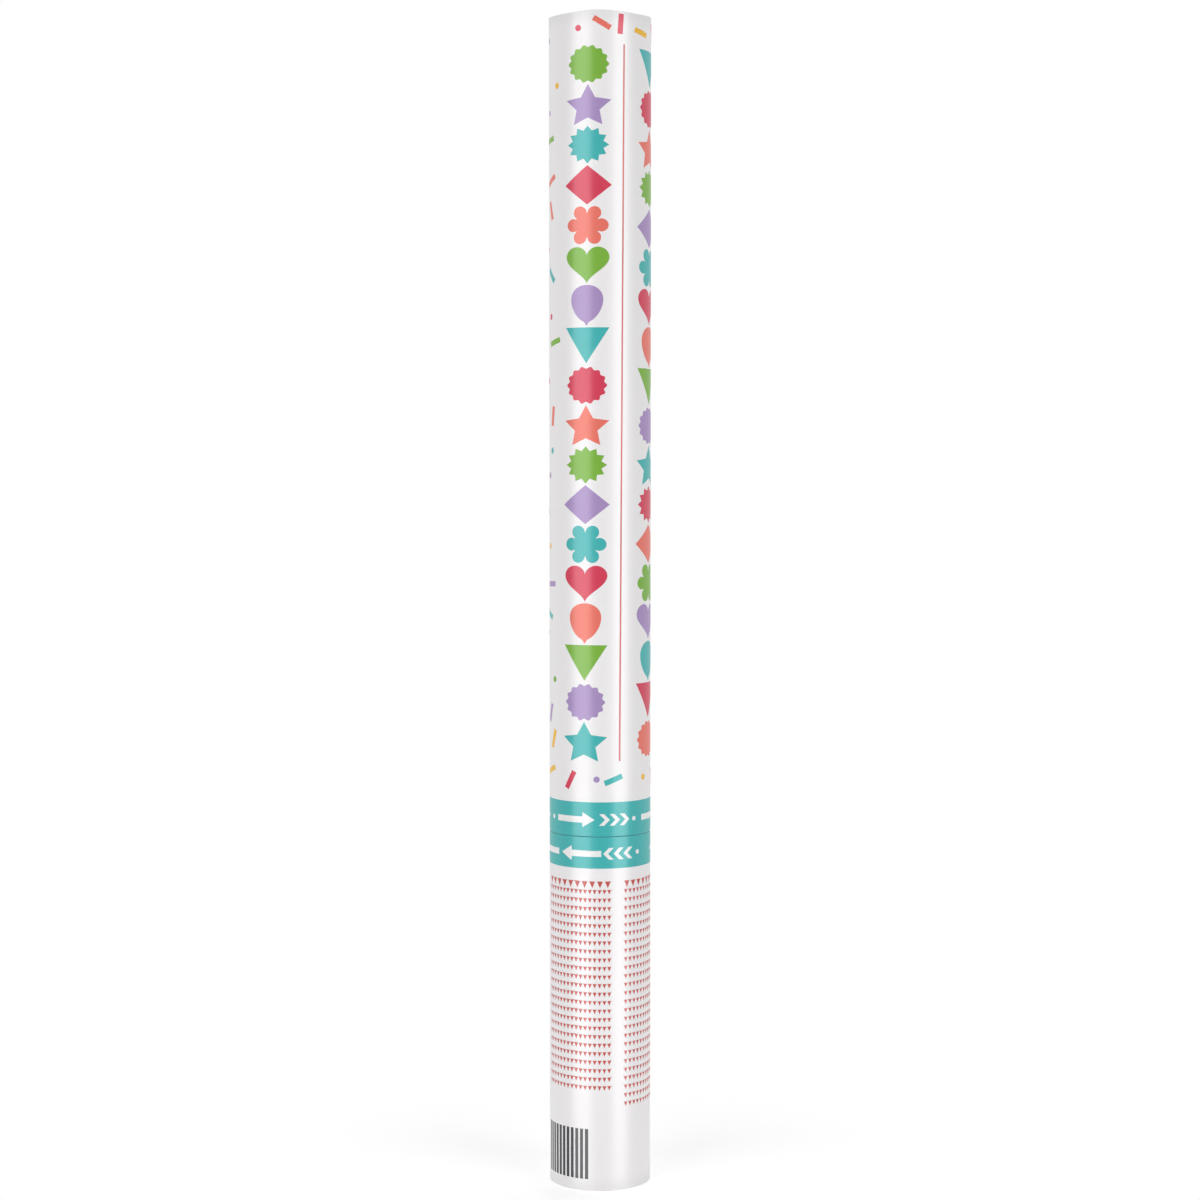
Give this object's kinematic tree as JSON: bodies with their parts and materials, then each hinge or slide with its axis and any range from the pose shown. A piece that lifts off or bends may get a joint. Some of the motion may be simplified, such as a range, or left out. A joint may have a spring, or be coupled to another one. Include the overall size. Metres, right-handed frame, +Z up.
{
  "type": "confetti popper",
  "caption": "Tall printed paper tube that fires confetti with compressed air when its base is twisted against the barrel; foil-sealed mouth.",
  "frame": {"origin": "centre of the base tube's lower rim", "axes": "+Z up the tube towards the foil, -Y towards the viewer of the front print"},
  "size_m": [0.0526, 0.0526, 0.6],
  "materials": {
    "tube_board": "matt wound board",
    "base_print": "satin laminated print",
    "barrel_print": "satin laminated print",
    "cap_plastic": "fine moulded",
    "bottle_plastic": "glossy",
    "black_rubber": "matt",
    "foam_band": "matt foam",
    "valve_plastic": "fine moulded",
    "plug_plastic": "fine moulded",
    "pin_steel": "ground",
    "collar_plastic": "fine moulded",
    "seal_foil": "crinkled bright foil",
    "wad_board": "matt grey board",
    "confetti_red": "matt tissue paper",
    "confetti_coral": "matt tissue paper",
    "confetti_yellow": "matt tissue paper",
    "confetti_green": "matt tissue paper",
    "confetti_teal": "matt tissue paper",
    "confetti_purple": "matt tissue paper"
  },
  "bodies": {
    "base": {"base_tube": "tube_board", "base_wrap": "base_print", "bottom_cap": "cap_plastic", "air_bottle": "bottle_plastic", "fill_valve": "black_rubber", "centring_rings": "foam_band", "neck_gasket": "black_rubber", "valve_body": "valve_plastic"},
    "barrel": {"barrel_tube": "tube_board", "barrel_wrap": "barrel_print", "cam_collar": "collar_plastic", "foil_seal": "seal_foil"},
    "plug": {"valve_plug": "plug_plastic", "plug_o_ring": "black_rubber", "cross_pin": "pin_steel"},
    "payload": {"wad": "wad_board", "confetti_red": "confetti_red", "confetti_coral": "confetti_coral", "confetti_yellow": "confetti_yellow", "confetti_green": "confetti_green", "confetti_teal": "confetti_teal", "confetti_purple": "confetti_purple"}
  },
  "joints": [
    {"name": "barrel_twist", "type": "hinge", "parent": "base", "child": "barrel", "pos_m": [0, 0, 0.1832], "axis": [0, 0, 1], "range_deg": [0, 90]},
    {"name": "plug_lift", "type": "slide", "parent": "base", "child": "plug", "axis": [0, 0, 1], "range_m": [0, 0.006]},
    {"name": "payload_slide", "type": "slide", "parent": "barrel", "child": "payload", "axis": [0, 0, 1], "range_m": [0, 0.05]}
  ],
  "couplings": [
    {"joint": "plug_lift", "follows": "barrel_twist", "m_per_rad": 0.0038197}
  ]
}
